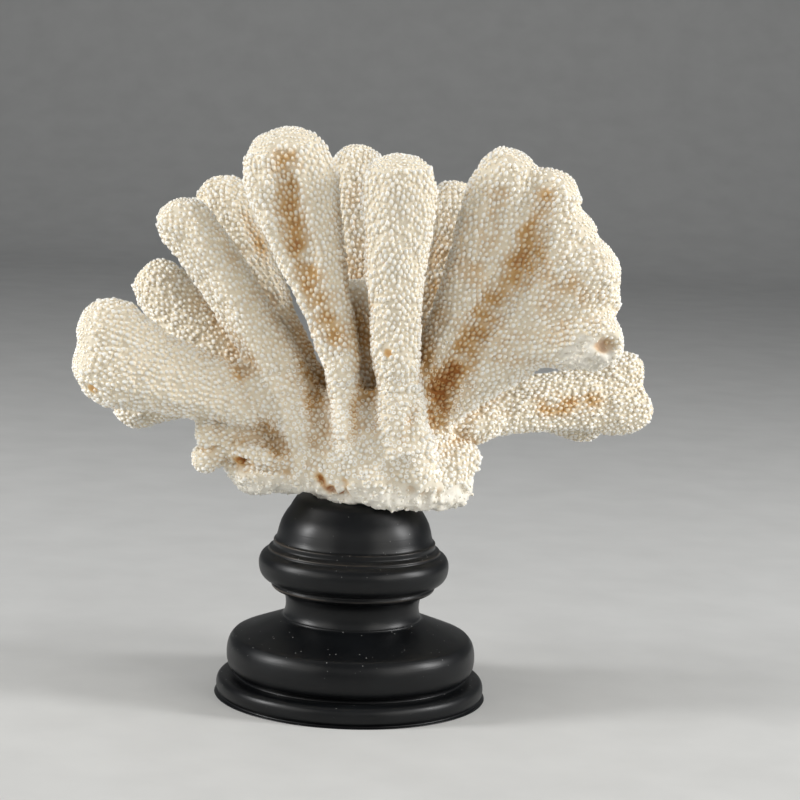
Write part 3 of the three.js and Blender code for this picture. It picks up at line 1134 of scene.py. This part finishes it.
@dataclass
class TurnedStand:
    """The stand: one turned piece, spun finely from the outline of its CAD solid.

    Lengths are in millimetres.
    """

    finish: EbonisedWood
    node: str = "stand"
    sides: int = 128
    steps: int = 3
    corner_angle: float = math.radians(45)
    edge: float = 0.25
    edge_share: float = 0.3

    def build(self) -> bpy.types.Object:
        """Spins and dresses the stand.

        Returns:
            The finished piece.
        """
        outline = self.rounded(self.outline())
        shape = bmesh.new()
        layers = {name: shape.verts.layers.float.new(name) for name in ("reach", "wear", "ledge")}
        rings = []
        for radius, height, *traits in outline:
            count = 1 if radius < TINY else self.sides
            ring = []
            for side in range(count):
                turn = 2 * math.pi * side / count
                vertex = shape.verts.new((radius * math.cos(turn), radius * math.sin(turn), height))
                for layer, value in zip(layers.values(), traits):
                    vertex[layer] = value
                ring.append(vertex)
            rings.append(ring)
        for low, high in zip(rings[:-1], rings[1:]):
            for side in range(self.sides):
                after = (side + 1) % self.sides
                corners = [
                    low[side % len(low)], low[after % len(low)],
                    high[after % len(high)], high[side % len(high)],
                ]
                shape.faces.new(dict.fromkeys(corners)).smooth = True
        mesh = finished_mesh(shape, "turned_stand")
        mesh.materials.append(self.finish.material())
        piece = new_object("turned_stand", mesh)
        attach(piece, "root")
        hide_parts(self.node)
        return piece

    def outline(self) -> list[Vector]:
        """Walks up the front of the CAD stand from the middle of its underside to the middle of its top.

        Returns:
            The radius and height of each corner, in metres.
        """
        solid = merged_copy(self.node)
        front = {v for v in solid.verts if abs(v.co.x) < TINY and v.co.y < TINY}
        step = min(front, key=lambda v: (-v.co.y, v.co.z))
        walked = []
        while step is not None:
            walked.append(Vector((-step.co.y, step.co.z)))
            front.discard(step)
            step = next((e.other_vert(step) for e in step.link_edges if e.other_vert(step) in front), None)
        solid.free()
        return walked

    def rounded(self, corners: list[Vector]) -> list[tuple[float, float, float, float, float]]:
        """Draws the outline's bends as smooth curves and breaks its sharp corners.

        Args:
            corners: the radius and height of each corner of the outline.
        Returns:
            The radius, height, reach along the outline, wear and ledge of each point.
        """
        turns = [0.0]
        for before, here, after in zip(corners[:-2], corners[1:-1], corners[2:]):
            turns.append((here - before).angle_signed(after - here))
        turns.append(0.0)
        sharp = [abs(turn) > self.corner_angle for turn in turns]
        points: list[tuple[Vector, float]] = []
        for number, (start, end) in enumerate(zip(corners[:-1], corners[1:])):
            before = start if number == 0 or sharp[number] else corners[number - 1]
            after = end if number + 2 == len(corners) or sharp[number + 1] else corners[number + 2]
            into = (end - before) / 2 if before != start else end - start
            out = (after - start) / 2 if after != end else end - start
            trim = min(self.edge * MM / (end - start).length, self.edge_share)
            low = trim if sharp[number] else 0.0
            high = 1 - trim if sharp[number + 1] else 1.0
            for step in range(self.steps + 1):
                share = low + (high - low) * step / self.steps
                point = self.bend(start, end, into, out, share)
                corner = {0: number, self.steps: number + 1}.get(step)
                rubbed = corner is not None and sharp[corner] and turns[corner] < 0
                if not points or (points[-1][0] - point).length > TINY / 10:
                    points.append((point, float(rubbed)))
        drawn = []
        reach = 0.0
        for number, (point, rubbed) in enumerate(points):
            before = points[max(number - 1, 0)][0]
            after = points[min(number + 1, len(points) - 1)][0]
            reach += (point - before).length
            run = (after - before).normalized()
            drawn.append((point.x, point.y, reach, rubbed, max(-run.x, 0.0)))
        return drawn

    @staticmethod
    def bend(start: Vector, end: Vector, into: Vector, out: Vector, share: float) -> Vector:
        """Finds a point of the smooth curve between two corners.

        Args:
            start: the first corner.
            end: the second corner.
            into: the curve's run at the first corner.
            out: the curve's run at the second corner.
            share: how far along the curve the point is, from 0 to 1.
        Returns:
            The point.
        """
        square = share * share
        cube = square * share
        return (
            (2 * cube - 3 * square + 1) * start + (cube - 2 * square + share) * into
            + (3 * square - 2 * cube) * end + (cube - square) * out
        )


@dataclass
class Studio:
    """The pale floor with its sweep, the soft lights and the camera. Lengths are in millimetres."""

    finish: StudioPaper
    width: float = 5000.0
    front: float = -2500.0
    back: float = 1500.0
    sweep: float = 700.0
    height: float = 2600.0
    sweep_steps: int = 24
    aim: Point = (13.4, 0.0, 100.7)
    distance: float = 840.0
    pitch: float = math.radians(8.3)
    roll: float = math.radians(2.2)
    field_of_view: float = math.radians(18)
    air: str = "#8C8F94"
    air_strength: float = 0.4

    def build(self) -> None:
        """Sets the floor, the lights, the air and the camera."""
        self.floor()
        for name, place, size, power, colour in (
            ("left softbox", (-860, -150, 450), (180, 360), 5.5, "#FFFFFF"),
            ("right softbox", (860, -100, 450), (180, 360), 5.5, "#FFFFFF"),
            ("overhead softbox", (0, 150, 1250), (1400, 1000), 2.0, "#FFFFFF"),
            ("front left fill", (-920, -800, 600), (800, 800), 3.7, "#FFFDF8"),
            ("front right fill", (920, -800, 600), (800, 800), 4.8, "#FFFDF8"),
            ("front fill", (0, -1400, 700), (900, 700), 1.2, "#FFFDF8"),
        ):
            self.softbox(name, place, size, power, colour)
        self.ambience()
        self.camera()

    def floor(self) -> None:
        """Lays the floor and bends it up behind the object."""
        run = [(self.front, 0.0)]
        for step in range(self.sweep_steps + 1):
            turn = math.pi / 2 * step / self.sweep_steps
            run.append((self.back + self.sweep * math.sin(turn), self.sweep * (1 - math.cos(turn))))
        run.append((self.back + self.sweep, self.height))
        points, faces = [], []
        for away, up in run:
            points += [(side * self.width / 2 * MM, away * MM, up * MM) for side in (-1, 1)]
        for row in range(0, len(points) - 2, 2):
            faces.append((row, row + 1, row + 3, row + 2))
        mesh = bpy.data.meshes.new("studio_floor")
        mesh.from_pydata(points, [], faces)
        mesh.shade_smooth()
        mesh.materials.append(self.finish.material())
        new_object("studio_floor", mesh)

    def softbox(
        self, name: str, place: Point, size: tuple[float, float], power: float, colour: str
    ) -> None:
        """Hangs one soft area light that faces the object.

        Args:
            name: the light's name.
            place: where its middle is, in millimetres.
            size: its width and height, in millimetres.
            power: its power in watts.
            colour: its sRGB hex colour.
        """
        light = bpy.data.lights.new(name, "AREA")
        light.shape = "RECTANGLE"
        light.size, light.size_y = size[0] * MM, size[1] * MM
        light.energy = power
        light.color = linear(colour)[:3]
        holder = bpy.data.objects.new(name, light)
        holder.location = Vector(place) * MM
        ahead = Vector(self.aim) * MM - holder.location
        holder.rotation_euler = ahead.to_track_quat("-Z", "Y").to_euler()
        bpy.context.scene.collection.objects.link(holder)

    def ambience(self) -> None:
        """Fills the air with dim, even light."""
        world = bpy.data.worlds.new("studio air")
        world.use_nodes = True
        air = world.node_tree.nodes["Background"]
        air.inputs["Color"].default_value = linear(self.air)
        air.inputs["Strength"].default_value = self.air_strength
        scene = bpy.context.scene
        scene.world = world
        scene.view_settings.view_transform = "Standard"

    def camera(self) -> None:
        """Sets the camera at the viewing angle."""
        ahead = Vector((0, math.cos(self.pitch), -math.sin(self.pitch)))
        level = Vector((1, 0, 0))
        above = Vector((0, math.sin(self.pitch), math.cos(self.pitch)))
        right = math.cos(self.roll) * level + math.sin(self.roll) * above
        up = math.cos(self.roll) * above - math.sin(self.roll) * level
        turn = Matrix((right, up, -ahead)).transposed().to_4x4()
        lens = bpy.data.cameras.new("camera")
        lens.sensor_width = 36.0
        lens.lens = lens.sensor_width / 2 / math.tan(self.field_of_view / 2)
        lens.clip_start = 0.01
        eye = bpy.data.objects.new("camera", lens)
        eye.matrix_world = Matrix.Translation((Vector(self.aim) - self.distance * ahead) * MM) @ turn
        bpy.context.scene.collection.objects.link(eye)
        bpy.context.scene.camera = eye


def main() -> None:
    """Builds the studio, the stand and the coral."""
    logging.basicConfig(level=logging.INFO, format="%(name)s: %(message)s")
    Studio(StudioPaper()).build()
    pieces = [TurnedStand(EbonisedWood()).build(), *Coral(BleachedCoral()).build()]
    for piece in pieces:
        piece.data.calc_loop_triangles()
        LOG.info("%s: %d triangles", piece.name, len(piece.data.loop_triangles))


if __name__ == "__main__":
    main()
